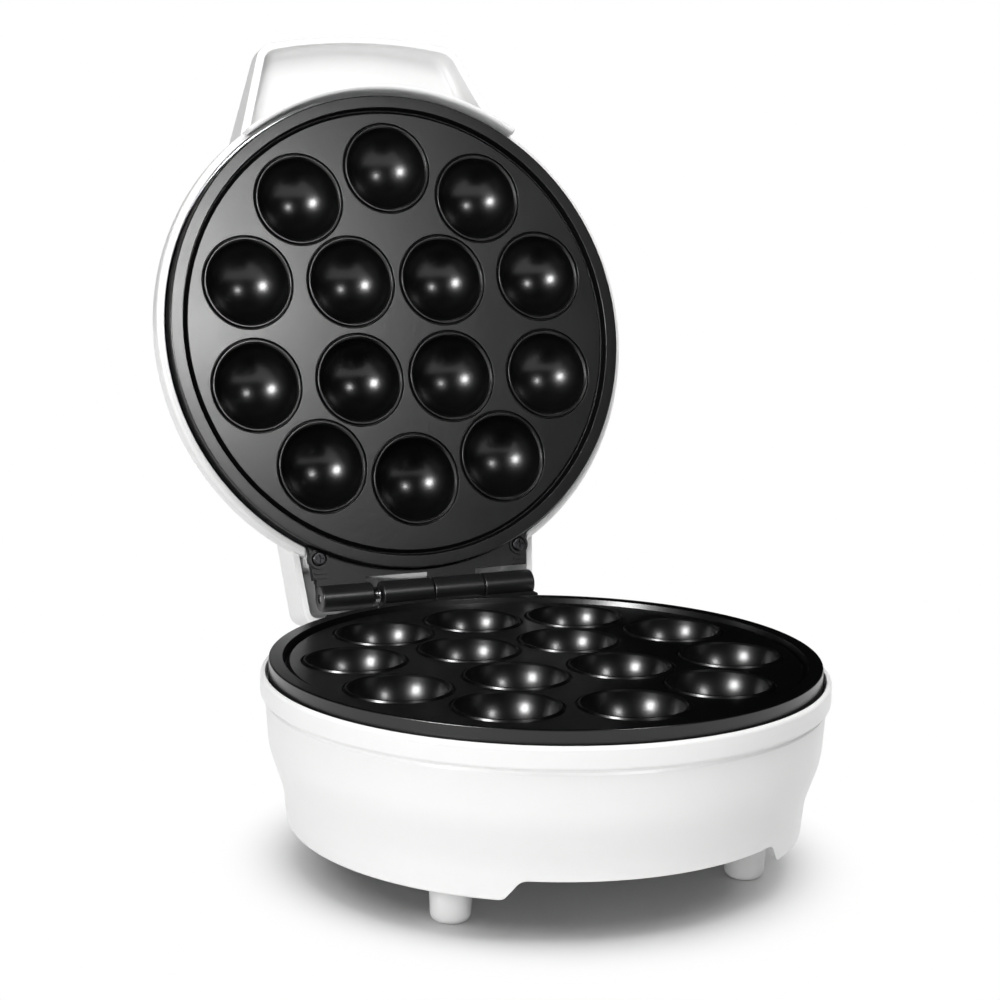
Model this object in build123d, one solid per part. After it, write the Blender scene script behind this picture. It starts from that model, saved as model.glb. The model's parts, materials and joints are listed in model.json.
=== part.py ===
"""Countertop cake pop maker with a hinged lid, every piece a solid of its own (millimetres).

Both halves are built alike: a cast non-stick plate over a tubular heating element and a
heat shield, in a white moulded shell. Each half is drawn in one half frame: X to the
right, Y towards the hinge, Z out of the cooking face, zero height at the top of the
plate's rim. The lower half is then set on its feet, and the upper half is turned over,
laid on the lower one and swung back to the open angle. +Z is up and the handle of the
closed lid points to -Y. The origin is the middle of the footprint, on the worktop.
"""
import math
import os

from build123d import *

# ---------------------------------------------------------------- driving dimensions
# cooking plate (one casting, used in both halves)
plate_r = 103.9            # outside of the casting
rim_width = 5.3            # flat band round the edge
rim_step = 1.6             # the field lies this far below the band
groove_width = 2.6         # channel between band and field
groove_depth = 1.0         # channel's floor below the field
groove_draft = 0.5         # its two walls lean by this much
edge_break = 0.8           # broken outer corner of the casting
plate_wall = 2.4
plate_skirt = 11.6         # side wall, from the top of the band down
cup_r = 18.2               # spherical cup
cup_depth = 17.2
cup_rings = 10             # cups spaced evenly round the outer ring
cup_ring_r = 71.5
hinge_cup_inset = 5.9      # the ring's cup beside the hinge stands this far inside the ring
inner_cup_offset = 21.4    # the inner cups, along X and along Y
lip_r = 19.0               # raised lip round each cup, at its crest
lip_height = 0.5
lip_width = 1.6

# shells
shell_wall = 2.5
bead_top = 5.0             # the shells' rim bead starts this far below the plate's rim
bead_height = 8.4
bead_wall = 2.0            # wall of the lower shell's bead
bead_step = 1.8            # the bead stands this far proud of the shell below it
bead_round = 1.1
shell_gap = 1.2            # between the plate's skirt and the bead, all round
ledge_width = 3.6          # inside ledge that carries the heat shield's flange and the plate
ledge_thickness = 2.4

# lower shell
stand_height = 16.5        # from the worktop to the lower edge of the shell
tub_depth = 62.1           # from the plate's rim to the lower edge of the shell
tub_foot_in = 9.9          # lower edge inside the bead's outside
tub_waist_in = 8.5         # waist inside the bead's outside
tub_waist_height = 13.6    # waist above the lower edge
tub_shoulder_in = 3.1      # shoulder inside the bead's outside
tub_shoulder_height = 29.1
tub_round = 34.0           # rounding of waist and shoulder
notch_half_width = 54.0    # the raised stretch of the lower edge, front and rear
notch_height = 7.8
notch_slope = 5.0

# bottom cover and feet
cover_recess = 11.0        # cover's underside above the shell's lower edge
cover_thickness = 1.2      # painted steel sheet
cover_gap = 0.3
foot_r = 7.2               # at the worktop
foot_root_r = 8.4
foot_x_front = 59.5
foot_y_front = 50.0
foot_x_rear = 32.0
foot_rear_in = 18.2        # rear feet before the rear of the shell's lower edge, far back for firmness
foot_round = 3.0
foot_spigot_r = 4.0        # spigot pushed up into the cover
foot_spigot = 5.0
cover_screw_angles = (10, 50, 130, 170, 270)
cover_screw_length = 12.0
vent_count = 7             # slots in the cover
vent_pitch = 9.0
vent_width = 3.0
vent_length = 28.0

# lid shell
lid_bead_wall = 3.2        # wall of the lid's bead
lid_side_in = 6.8          # handles of the curve that draws the side and the top, inside the bead
lid_side_depth = 33.0
lid_edge_in = 11.3
lid_edge_depth = 45.5
lid_top_in = 32.3
lid_crown_r = 30.0
lid_depth = 46.0           # from the plate's rim to the middle of the top

# handle, moulded with the lid shell
lip_gap = 2.4              # between the plate's skirt and the raised lip beside it
lip_wall = 2.4
lip_rise = 1.9             # the lip stands proud of the plate's rim
lip_half_angle = 35.0
handle_length = 28.7       # from the lid's bead to the handle's end
handle_root_half = 59.0
handle_end_half = 46.8
handle_end_bow = 4.7       # the end edge is bowed outwards
handle_corner = 11.0
handle_root_depth = 15.4   # rim of the tray below the plate's rim, at the bead
handle_end_depth = 22.4    # and at the handle's end
handle_back_depth = 30.5   # flat back of the tray
handle_web = 2.8
handle_rim = 2.8
handle_back_round = 3.0

# hinge
hinge_offset = 9.9         # hinge axis behind the plate's edge
hinge_above_rim = 1.3      # hinge axis above the lower plate's rim
closed_gap = 0.4           # between the two plates' rims when closed
open_angle = 104.8         # from closed to the open stop
barrel_r = 4.8
pin_r = 2.0
pin_clearance = 0.05
knuckle_length = 23.2
knuckle_gap = 0.35
spring_space = 4.2         # between the first two knuckles, where the coil sits
spring_wire = 1.1
spring_gap = 0.3
spring_turns = 3
bracket_face = 4.1         # bracket's face below the plate's rim
bracket_thickness = 3.5
bracket_root_half = 51.0
bracket_end_half = 49.4
bracket_root_in = 25.8     # front edge of the bracket before the hinge axis
bracket_end_in = 8.1       # rear edge of its face before the hinge axis
bracket_gap = 0.4          # between the plate's skirt and the bracket
web_thickness = 2.6        # webs that join the knuckles to their bracket

neck_root_half = 56.5      # the lid shell's neck over the hinge, outside
neck_end_half = 53.0
neck_overhang = 10.2       # the neck's end behind the hinge axis
neck_lip_depth = 9.1       # lower edge of the neck below the lid plate's rim
neck_depth = 33.0
neck_corner = 6.0
boss_half = 46.5           # hinge boss behind the lower shell
boss_depth = 25.0
boss_slope = 12.0
stop_clearance = 0.3

# fasteners
screw_head_r = 2.9
screw_head = 1.7
screw_r = 1.5
screw_hole_clearance = 0.3
screw_head_round = 0.75
cross_length = 3.4         # cross recess of the heads
cross_width = 0.7
cross_depth = 0.8
post_r = 4.6
hinge_screw_x = 46.5
hinge_screw_in = 17.1      # hinge screws before the hinge axis
hinge_screw_length = 12.0
post_height = 15.0

# heating
element_in = 7.3           # centre line of the element's ring inside the plate's edge
element_tube_r = 2.9
element_open_half = 17.0   # half the gap between the element's two ends, degrees
element_seat = 0.3
terminal_r = 1.2
terminal_length = 9.0
clip_width = 9.0
clip_thickness = 1.0
clip_angles = (36, 108, 180, 252, 324)
shield_sheet = 0.6
shield_floor_in = 13.9     # the shield's floor and wall inside the plate's edge
shield_wall_in = 3.9
shield_wall_drop = 6.0     # straight part of its wall
shield_depth = 27.0
shield_boss_r = 4.0        # three bosses under the plate carry the heat shield
shield_screw_length = 9.0
shield_bosses = ((0, -40.5), (-44.0, 0), (44.0, 0))
shield_rim = 3.4           # upturned edge round the shield's flange
shield_rim_gap = 0.3
thermostat_r = 7.6
thermostat_height = 8.0
thermostat_boss_r = 6.0
thermostat_boss = 2.0
fuse_r = 2.0
fuse_length = 11.0
fuse_y = 40.5

# wiring and inlet
lead_r = 1.0
lead_bend = 4.0
lead_hole_y = 80.0         # wires pass through the heat shields here
lead_hole_r = 6.5
lead_spacing = 8.0
lead_clearance = 3.4       # wires run this far from the shell inside the lid
block_length = 26.0        # terminal block
block_width = 12.0
block_height = 11.0
gland_r = 6.0
gland_flange_r = 8.5
gland_length = 8.0
gland_bore_r = 3.2
gland_flange = 3.0
gland_height = 18.0        # inlet's centre above the lower edge

# indicator lamps in the lid's top
lens_r = 4.0
lens_flange_r = 5.0
lens_flange = 1.6
lens_spacing = 20.0
lens_y = -58.0
lens_seat = 1.6            # flat seat below the top of the lid
lens_seat_wall = 1.8
lamp_r = 2.4
lamp_length = 5.0

fit = 0.3                  # clearance between neighbouring pieces that don't move
far = 300.0                # reaches past everything, for cutting away

# ---------------------------------------------------------------- derived places
field = -rim_step
band_in_r = plate_r - rim_width
field_r = band_in_r - groove_width
plate_floor = field - plate_wall
bead_bottom = -(bead_top + bead_height)
ledge_top = -(plate_skirt + shield_sheet)
rim_height = stand_height + tub_depth
shell_bore_r = plate_r + shell_gap
bead_r = shell_bore_r + bead_wall
tub_foot_r = bead_r - tub_foot_in
foot_y_rear = tub_foot_r - foot_rear_in
tub_waist_r = bead_r - tub_waist_in
tub_shoulder_r = bead_r - tub_shoulder_in
lid_bead_r = shell_bore_r + lid_bead_wall
lip_wall_r = plate_r + lip_gap
handle_reach = lid_bead_r + handle_length
element_r = plate_r - element_in
shield_floor_r = plate_r - shield_floor_in
shield_wall_r = plate_r - shield_wall_in
hinge_y = plate_r + hinge_offset
bracket_root_y = hinge_y - bracket_root_in
bracket_end_y = hinge_y - bracket_end_in
neck_end_y = hinge_y + neck_overhang
hinge_screw_y = hinge_y - hinge_screw_in
hinge_z = rim_height + hinge_above_rim
lid_rim_height = rim_height + closed_gap
barrel_length = 4 * knuckle_length + 2 * knuckle_gap + spring_space
first_x = -barrel_length / 2
second_x = first_x + knuckle_length + spring_space
third_x = second_x + knuckle_length + knuckle_gap
fourth_x = third_x + knuckle_length + knuckle_gap

base_place = Pos(0, 0, rim_height)
lid_closed = Pos(0, 0, lid_rim_height) * Rot(0, 180, 0)
lid_swing = Pos(0, hinge_y, hinge_z) * Rot(-open_angle, 0, 0) * Pos(0, -hinge_y, -hinge_z)
lid_place = lid_swing * lid_closed

hinge_deck = -(bracket_face + bracket_thickness)   # seat of the hinge bracket
gland_z = -tub_depth + gland_height
gland_face_y = tub_shoulder_r                      # flat seat of the gland's flange
lens_seat_z = -lid_depth + lens_seat
base_axis_z = hinge_above_rim                      # hinge axis in the lower half's frame
lid_axis_z = closed_gap - hinge_above_rim          # and in the lid's


def cup_centres():
    """Places of the cups on one plate: an even ring, and four inside it."""
    places = []
    for n in range(cup_rings):
        angle = math.radians(90 + 360 / cup_rings * n)
        reach = cup_ring_r - (hinge_cup_inset if n == 0 else 0)
        places.append((reach * math.cos(angle), reach * math.sin(angle)))
    for sx in (-1, 1):
        for sy in (-1, 1):
            places.append((sx * inner_cup_offset, sy * inner_cup_offset))
    return places


# ---------------------------------------------------------------- drawing helpers
def turned(*corners):
    """Ring or disc turned about Z from (radius, height) corners."""
    outline = Polyline(*[(r, 0, z) for r, z in corners], close=True)
    return revolve(make_face(outline), Axis.Z)


def post(x, y, top, bottom, radius):
    """Upright cylinder between two heights."""
    return Pos(x, y, bottom) * Cylinder(radius, top - bottom, align=(Align.CENTER, Align.CENTER, Align.MIN))


def along_y(z, y0, y1, radius):
    """Level cylinder along Y on the middle plane."""
    return Pos(0, (y0 + y1) / 2, z) * Rot(90, 0, 0) * Cylinder(radius, y1 - y0)


def slab(corners, top, bottom):
    """Flat outline in XY, thickened between two heights."""
    outline = make_face(Polyline(*corners, close=True))
    return Pos(0, 0, bottom) * extrude(outline, top - bottom)


def block(x0, x1, y0, y1, z0, z1):
    """Box between opposite corners."""
    return Pos((x0 + x1) / 2, (y0 + y1) / 2, (z0 + z1) / 2) * Box(x1 - x0, y1 - y0, z1 - z0)


def pan_screw(length, turn=Rot(0, 0, 0)):
    """Cross-head screw: head above zero height, shank below."""
    head = Pos(0, 0, screw_head / 2) * Cylinder(screw_head_r, screw_head)
    top_edge = head.edges().group_by(Axis.Z)[-1]
    head = fillet(top_edge, screw_head_round)
    shank = Pos(0, 0, -length / 2) * Cylinder(screw_r, length)
    cross = Pos(0, 0, screw_head) * (Box(cross_length, cross_width, 2 * cross_depth)
                                     + Box(cross_width, cross_length, 2 * cross_depth))
    return turn * (head + shank - cross)


def tube(points, radius, bend):
    """Round wire along straight runs joined by arcs."""
    path = FilletPolyline(*points, radius=bend)
    section = Plane(origin=path @ 0, z_dir=path % 0) * Circle(radius)
    return sweep(section, path=path)


# ---------------------------------------------------------------- plate
def cooking_plate():
    """Cast plate: flat rim band, channel, field, side wall and the cups."""
    channel = field - groove_depth
    plate = turned((0, field), (field_r, field), (field_r + groove_draft, channel),
                   (band_in_r - groove_draft, channel), (band_in_r, 0), (plate_r - edge_break, 0),
                   (plate_r, -edge_break), (plate_r, -plate_skirt), (plate_r - plate_wall, -plate_skirt),
                   (plate_r - plate_wall, plate_floor), (0, plate_floor))
    sphere_z = field - cup_depth + cup_r
    for x, y in cup_centres():
        bowl = Pos(x, y, sphere_z) * Sphere(cup_r + plate_wall)
        plate += bowl & Pos(x, y, 0) * disc(cup_r + plate_wall, plate_floor + fit, -far)
    boss = disc(thermostat_boss_r, plate_floor + fit, plate_floor - thermostat_boss)
    plate += boss
    for x, y in shield_bosses:
        plate += post(x, y, plate_floor + fit, -shield_depth, shield_boss_r)
        plate -= post(x, y, -shield_depth + shield_screw_length, -shield_depth - 1, screw_r)
    for x, y in cup_centres():
        lip = turned((lip_r - lip_width / 2, field - 0.4), (lip_r + lip_width / 2, field - 0.4),
                     (lip_r + lip_width / 2, field), (lip_r + lip_width / 4, field + lip_height),
                     (lip_r - lip_width / 4, field + lip_height), (lip_r - lip_width / 2, field))
        plate += Pos(x, y, 0) * lip
    for x, y in cup_centres():
        plate -= Pos(x, y, sphere_z) * Sphere(cup_r)
    return plate


# ---------------------------------------------------------------- heating parts
def heating_element():
    """Tubular element bent to an open ring, with a cold pin at each end."""
    height = plate_floor - element_seat - element_tube_r
    start = math.radians(90 + element_open_half)
    sweep_angle = 360 - 2 * element_open_half
    at = (element_r * math.cos(start), element_r * math.sin(start), height)
    ring = Plane(origin=at, z_dir=(-math.sin(start), math.cos(start), 0)) * Circle(element_tube_r)
    body = revolve(ring, Axis.Z, sweep_angle)
    pins = []
    for side in (-1, 1):
        angle = math.radians(90 + side * element_open_half)
        place = Plane(origin=(element_r * math.cos(angle), element_r * math.sin(angle), height),
                      z_dir=(side * math.sin(angle), -side * math.cos(angle), 0))
        pins.append(place * Pos(0, 0, terminal_length / 2) * Cylinder(terminal_r, terminal_length))
    return body + pins


def element_clips():
    """Bent straps that hold the element up against the plate, one solid each."""
    tube_top = plate_floor - element_seat
    tube_low = tube_top - 2 * element_tube_r
    inner = element_r - element_tube_r - fit
    outer = element_r + element_tube_r + fit
    clips = []
    for angle in clip_angles:
        half = clip_width / 2
        strap = block(inner - clip_thickness, outer + clip_thickness, -half, half,
                      tube_low - fit - clip_thickness, plate_floor)
        strap -= block(inner, outer, -half - 1, half + 1, tube_low - fit, plate_floor + 1)
        clips.append(Rot(0, 0, 90 + angle) * strap)
    return clips


def heat_shield():
    """Pressed sheet dish under the element, its flange clamped between plate and shell ledge."""
    depth = shield_depth
    flange_z = -plate_skirt
    rim_r = shell_bore_r - shield_rim_gap
    t = shield_sheet
    dish = turned((0, -depth), (shield_floor_r, -depth), (shield_wall_r, flange_z - shield_wall_drop),
                  (shield_wall_r, flange_z), (rim_r - t, flange_z), (rim_r - t, flange_z + shield_rim),
                  (rim_r, flange_z + shield_rim), (rim_r, flange_z - t), (shield_wall_r + t, flange_z - t),
                  (shield_wall_r + t, flange_z - shield_wall_drop), (shield_floor_r + t, -depth - t), (0, -depth - t))
    for x, y in shield_bosses:
        dish -= post(x, y, -depth + 1, -depth - t - 1, screw_r + screw_hole_clearance)
    return dish - post(0, lead_hole_y, -depth + 1, -depth - t - 1, lead_hole_r)


def shield_screws():
    """Screws that hold the heat shield to the plate's bosses, heads away from the plate."""
    return [Pos(x, y, -shield_depth - shield_sheet) * pan_screw(shield_screw_length, Rot(180, 0, 0))
            for x, y in shield_bosses]


def thermostat():
    """Snap-disc thermostat screwed to the boss under the plate's middle."""
    top = plate_floor - thermostat_boss
    body = post(0, 0, top, top - thermostat_height, thermostat_r)
    lower_edge = body.edges().group_by(Axis.Z)[0]
    body = fillet(lower_edge, 1.2)
    for side in (-1, 1):
        body += block(side * 4 - 0.4, side * 4 + 0.4, -2.4, 2.4,
                      top - thermostat_height - 5, top - thermostat_height + 0.5)
    return body


def thermal_fuse():
    """One-shot fuse in its clip, flat against the plate's underside."""
    capsule = Pos(0, fuse_y, plate_floor - fuse_r) * Rot(0, 90, 0) * Cylinder(fuse_r, fuse_length)
    strap = block(-3, 3, fuse_y - fuse_r - 0.8, fuse_y + fuse_r + 0.8, plate_floor - 2 * fuse_r - 0.8,
                  plate_floor)
    return capsule + strap


# ---------------------------------------------------------------- hinge
def hinge_bracket(axis_z, knuckles):
    """Black moulded bracket: a face beside the plate, webs and its share of the knuckles."""
    top = -bracket_face
    low = top - bracket_thickness
    face = slab([(-bracket_root_half, bracket_root_y), (bracket_root_half, bracket_root_y),
                 (bracket_end_half, bracket_end_y), (-bracket_end_half, bracket_end_y)], top, low)
    bracket = face - Cylinder(plate_r + bracket_gap, far)
    for x in knuckles:
        middle = x + knuckle_length / 2
        bracket += Pos(middle, hinge_y, axis_z) * Rot(0, 90, 0) * Cylinder(barrel_r, knuckle_length)
        bracket += block(x, x + knuckle_length, bracket_end_y - 1, hinge_y,
                         axis_z - barrel_r, axis_z - barrel_r + web_thickness)
        bracket += block(x, x + knuckle_length, bracket_end_y - 1, bracket_end_y + 1.5,
                         low, axis_z - barrel_r + web_thickness)
    bracket -= Pos(0, hinge_y, axis_z) * Rot(0, 90, 0) * Cylinder(pin_r + pin_clearance, barrel_length + 2)
    for side in (-1, 1):
        bracket -= post(side * hinge_screw_x, hinge_screw_y, top + 1, low - 1,
                        screw_r + screw_hole_clearance)
    return bracket


def hinge_screws():
    """The two screws through a hinge bracket."""
    return [Pos(side * hinge_screw_x, hinge_screw_y, -bracket_face) * pan_screw(hinge_screw_length)
            for side in (-1, 1)]


def hinge_pin():
    """Steel pin through every knuckle."""
    pin = Pos(0, hinge_y, hinge_z) * Rot(0, 90, 0) * Cylinder(pin_r, barrel_length - 1)
    return chamfer(pin.edges().filter_by(GeomType.CIRCLE), 0.4)


def hinge_spring():
    """Coil round the pin in the gap between the first two knuckles."""
    coil_r = pin_r + spring_gap + spring_wire / 2
    turns_length = spring_space - 2 * spring_gap - spring_wire
    path = Helix(pitch=turns_length / spring_turns, height=turns_length, radius=coil_r)
    coil = sweep(Plane(origin=path @ 0, z_dir=path % 0) * Circle(spring_wire / 2), path=path)
    start = first_x + knuckle_length + spring_gap + spring_wire / 2
    return Pos(start, hinge_y, hinge_z) * Rot(0, 90, 0) * coil


# ---------------------------------------------------------------- lower shell
def disc(radius, top, bottom):
    """Cylinder about the plate's axis between two heights."""
    return post(0, 0, top, bottom, radius)


def tub_form(inset):
    """Waisted form of the tub up to its bead, or of its hollow."""
    low = -tub_depth
    points = [(tub_foot_r - inset, low), (tub_waist_r - inset, low + tub_waist_height),
              (tub_shoulder_r - inset, low + tub_shoulder_height), (bead_r - bead_step - inset, bead_bottom)]
    side = FilletPolyline(*[(r, 0, z) for r, z in points], radius=tub_round)
    inside = Polyline(*[(r, 0, z) for r, z in (points[-1], (0, bead_bottom), (0, low), points[0])])
    return revolve(make_face([side, inside]), Axis.Z)


def bead(outer_r):
    """Rounded band round the top of a shell, as a disc."""
    top, low, cut = -bead_top, bead_bottom, bead_round
    return turned((0, low), (outer_r - cut, low), (outer_r, low + cut), (outer_r, top - cut),
                  (outer_r - cut, top), (0, top))


def ledge_bore():
    """Stepped hole through a shell's top: plate clearance above, ledge below."""
    wide = disc(shell_bore_r, far, ledge_top)
    return wide + disc(shell_bore_r - ledge_width, far, ledge_top - ledge_thickness)


def boss_form(inset):
    """Hinge boss behind the tub, seen from the side and thickened; inset draws its hollow."""
    deck = hinge_deck
    edge_y, _ = neck_edge_open()
    back = edge_y - stop_clearance - inset
    root = tub_waist_r - shell_wall - 1
    low = deck - boss_depth + inset
    view = [(0, root, deck - inset), (0, back, deck - inset), (0, back, low + boss_slope),
            (0, back - boss_slope, low), (0, root, low)]
    return extrude(make_face(Polyline(*view, close=True)), boss_half - inset, both=True)


def hinge_pillars(bottom):
    """Screw pillars under a hinge bracket, one solid for each side."""
    return [post(side * hinge_screw_x, hinge_screw_y, hinge_deck, bottom, post_r) - ledge_bore()
            for side in (-1, 1)]


def hinge_pilots():
    """Pilot holes of the two hinge screws."""
    return [post(side * hinge_screw_x, hinge_screw_y, hinge_deck + 1, hinge_deck - post_height + 2, screw_r)
            for side in (-1, 1)]


def base_housing():
    """White tub: bead, ledge, waisted side, hinge boss, pillars and raised lower edge."""
    low = -tub_depth
    hollow = tub_form(shell_wall) & disc(bead_r, ledge_top - ledge_thickness, low - 1)
    housing = tub_form(0) + bead(bead_r) + boss_form(0)
    housing += along_y(gland_z, tub_waist_r - shell_wall - 1, gland_face_y, gland_flange_r + 1.5)
    seat_half = bracket_root_half + 1
    housing -= block(-seat_half, seat_half, bracket_root_y - 2, far, hinge_deck, far)
    housing -= hollow + disc(tub_foot_r - shell_wall, low + 1, low - 1)
    housing -= ledge_bore()
    housing -= boss_form(shell_wall)
    for pillar, pilot in zip(hinge_pillars(hinge_deck - post_height), hinge_pilots()):
        housing += pillar
        housing -= pilot
    post_low, post_top = cover_top(), cover_top() + post_height
    for x, y in cover_screw_places():
        angle = math.degrees(math.atan2(y, x))
        rib = Rot(0, 0, angle) * block(math.hypot(x, y), tub_foot_r, -1.2, 1.2, post_low, post_top)
        housing += post(x, y, post_top, post_low, post_r) + (rib & tub_form(shell_wall / 2))
        housing -= post(x, y, post_top - 3, post_low - 1, screw_r)
    notch = Polyline((-notch_half_width, low - 1), (-notch_half_width, low),
                     (-notch_half_width + notch_slope, low + notch_height),
                     (notch_half_width - notch_slope, low + notch_height),
                     (notch_half_width, low), (notch_half_width, low - 1), close=True)
    housing -= extrude(Plane.XZ * make_face(notch), far, both=True)
    housing -= along_y(gland_z, tub_waist_r - 15, gland_face_y + 1, gland_r + fit / 2)
    return housing


def neck_edge_open():
    """Lower rear edge of the lid's neck when open, as (y, height) in the lower half's frame."""
    d = neck_end_y - hinge_y
    rise = lid_axis_z + neck_lip_depth
    turn = math.radians(open_angle)
    y = d * math.cos(turn) + rise * math.sin(turn)
    z = -d * math.sin(turn) + rise * math.cos(turn)
    return hinge_y + y, base_axis_z + z


def cover_top():
    """Height of the bottom cover's upper face in the lower half's frame."""
    return -tub_depth + cover_recess + cover_thickness


def cover_screw_places():
    """Screws of the bottom cover, between the feet."""
    reach = tub_foot_r - shell_wall - post_r - 5
    turns = [math.radians(angle) for angle in cover_screw_angles]
    return [(reach * math.cos(turn), reach * math.sin(turn)) for turn in turns]


def foot_places():
    """The four feet: names and places."""
    return {"foot_front_left": (-foot_x_front, -foot_y_front),
            "foot_front_right": (foot_x_front, -foot_y_front),
            "foot_rear_left": (-foot_x_rear, foot_y_rear),
            "foot_rear_right": (foot_x_rear, foot_y_rear)}


def bottom_cover():
    """Flat sheet cover recessed in the tub, with holes for the feet's spigots and slots for air."""
    low = cover_top() - cover_thickness
    cover = post(0, 0, cover_top(), low, tub_foot_r - shell_wall - cover_gap)
    for x, y in foot_places().values():
        cover -= post(x, y, cover_top() + 1, low - 1, foot_spigot_r + fit / 2)
    for x, y in cover_screw_places():
        cover -= post(x, y, cover_top() + 1, low - 1, screw_r + screw_hole_clearance)
    for n in range(vent_count):
        x = (n - (vent_count - 1) / 2) * vent_pitch
        cover -= block(x - vent_width / 2, x + vent_width / 2, -vent_length / 2, vent_length / 2,
                       low - 1, cover_top() + 1)
    return cover


def foot(x, y):
    """Tapered foot with a rounded end and a spigot."""
    top = cover_top() - cover_thickness
    low = -rim_height
    body = Pos(x, y, (top + low) / 2) * Cone(foot_r, foot_root_r, top - low)
    body = fillet(body.edges().group_by(Axis.Z)[0], foot_round)
    return body + post(x, y, cover_top() + foot_spigot, top - 0.01, foot_spigot_r)


def cover_screws():
    """Screws that hold the bottom cover, heads down."""
    low = cover_top() - cover_thickness
    return [Pos(x, y, low) * pan_screw(cover_screw_length, Rot(180, 0, 0))
            for x, y in cover_screw_places()]


def cord_gland():
    """Inlet bush for the mains lead in the rear wall, its flange on the flat seat."""
    bush = along_y(gland_z, gland_face_y - gland_length, gland_face_y, gland_r)
    flange = along_y(gland_z, gland_face_y, gland_face_y + gland_flange, gland_flange_r)
    return bush + flange - along_y(gland_z, 0, far, gland_bore_r)


# ---------------------------------------------------------------- lid shell
def lid_curve(inset):
    """Control points of the lid's outline as (radius, height), from the bead to the crown."""
    return [(lid_bead_r - bead_step - inset, bead_bottom),
            (lid_bead_r - lid_side_in - inset, -lid_side_depth + inset / 3),
            (lid_bead_r - lid_edge_in - inset, -lid_edge_depth + inset),
            (lid_bead_r - lid_top_in - inset / 2, -lid_depth + inset),
            (lid_crown_r, -lid_depth + inset), (0, -lid_depth + inset)]


def lid_form(inset):
    """Domed form of the lid beyond its bead, or of its hollow."""
    points = [(r, 0, z) for r, z in lid_curve(inset)]
    inside = Polyline(points[-1], (0, 0, bead_bottom), points[0])
    return revolve(make_face([Bezier(*points), inside]), Axis.Z)


def neck_form(inset, top):
    """Neck over the hinge, or its hollow."""
    corners = [(-neck_root_half + inset, bracket_root_y - 20), (neck_root_half - inset, bracket_root_y - 20),
               (neck_root_half - inset, bracket_root_y), (neck_end_half - inset, neck_end_y - inset),
               (-neck_end_half + inset, neck_end_y - inset), (-neck_root_half + inset, bracket_root_y)]
    neck = slab(corners, top, -neck_depth + inset)
    upright = neck.edges().filter_by(Axis.Z).group_by(Axis.Y)[-1]
    neck = fillet(upright, neck_corner - inset)
    outer_edges = [e for e in neck.edges().group_by(Axis.Z)[0] if (e @ 0.5).Y > bracket_root_y + 1]
    return fillet(outer_edges, neck_corner - inset)


def handle_plan(inset):
    """Plan of the handle: straight sides from inside the bead, bowed end, rounded corners."""
    root = shell_bore_r - ledge_width - handle_rim
    end_half = handle_end_half - inset
    root_half = handle_root_half - inset
    end_y = -(handle_reach - handle_end_bow - inset)
    edges = [Line((-root_half, -root), (-end_half, end_y)),
             ThreePointArc((-end_half, end_y), (0, -(handle_reach - inset)), (end_half, end_y)),
             Line((end_half, end_y), (root_half, -root)),
             Line((root_half, -root), (-root_half, -root))]
    face = make_face(edges)
    corners = face.vertices().sort_by(Axis.Y)[:2]
    return fillet(corners, handle_corner - inset)


def handle():
    """Handle: a tray with a flat back, its rim sloping away from the lid's bead."""
    slope = math.degrees(math.atan2(handle_end_depth - handle_root_depth, handle_length))
    rim = Pos(0, -lid_bead_r, -handle_root_depth) * Rot(slope, 0, 0)
    tray = Pos(0, 0, -handle_back_depth) * extrude(handle_plan(0), handle_back_depth)
    back = [e for e in tray.edges().group_by(Axis.Z)[0] if (e @ 0.5).Y < -lid_bead_r]
    tray = fillet(back, handle_back_round)
    scoop = Pos(0, 0, -handle_back_depth + handle_web) * extrude(handle_plan(handle_rim), far)
    return tray - scoop - rim * Pos(0, 0, far / 2) * Box(far, far, far)


def handle_lip():
    """Raised lip between the plate and the handle."""
    low = -bead_top - bead_height / 2
    ring = turned((lip_wall_r, low), (lip_wall_r + lip_wall, low), (lip_wall_r + lip_wall, lip_rise),
                  (lip_wall_r, lip_rise))
    half = math.radians(lip_half_angle)
    wedge = [(0, 0), (-far * math.sin(half), -far * math.cos(half)),
             (far * math.sin(half), -far * math.cos(half))]
    return ring & slab(wedge, lip_rise + 1, low - 1)


def lid_shell():
    """White lid shell: bead, dome, handle with its lip, and the neck over the hinge."""
    body = lid_form(0) + bead(lid_bead_r)
    shell = body + neck_form(0, -neck_lip_depth) + handle() + handle_lip()
    shell -= lid_form(shell_wall) & disc(lid_bead_r, ledge_top - ledge_thickness, -far)
    shell -= ledge_bore()
    passage = neck_form(shell_wall, far) - disc(shell_bore_r - ledge_width, 2 * far, -far)
    shell -= passage & block(-far, far, bracket_root_y - 2, far, -far, far)
    for pillar, pilot in zip(hinge_pillars(-neck_depth + shell_wall / 2), hinge_pilots()):
        shell += pillar
        shell -= pilot
    for x, y in lens_places():
        shell += post(x, y, lens_seat_z + lens_seat_wall, lens_seat_z, lens_flange_r + 2)
        shell -= post(x, y, lens_seat_z, -lid_depth - 5, lens_flange_r + fit / 2)
        shell -= post(x, y, -lid_depth + 10, -lid_depth - 5, lens_r + fit / 2)
    return shell


def lens_places():
    """The two indicator lenses."""
    return [(-lens_spacing / 2, lens_y), (lens_spacing / 2, lens_y)]


def indicator_lens(x, y):
    """Round lens pressed in from outside against its seat."""
    body = post(x, y, lens_seat_z + lens_seat_wall + 1, lens_seat_z, lens_r)
    cap = post(x, y, lens_seat_z, lens_seat_z - lens_flange, lens_flange_r)
    cap = fillet(cap.edges().group_by(Axis.Z)[0], 0.6)
    return body + cap


def indicator_lamp(x, y):
    """Neon lamp behind its lens."""
    low = lens_seat_z + lens_seat_wall + 1 + fit
    bulb = post(x, y, low + lamp_length, low, lamp_r)
    return fillet(bulb.edges().group_by(Axis.Z)[0], 1.2)


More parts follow.
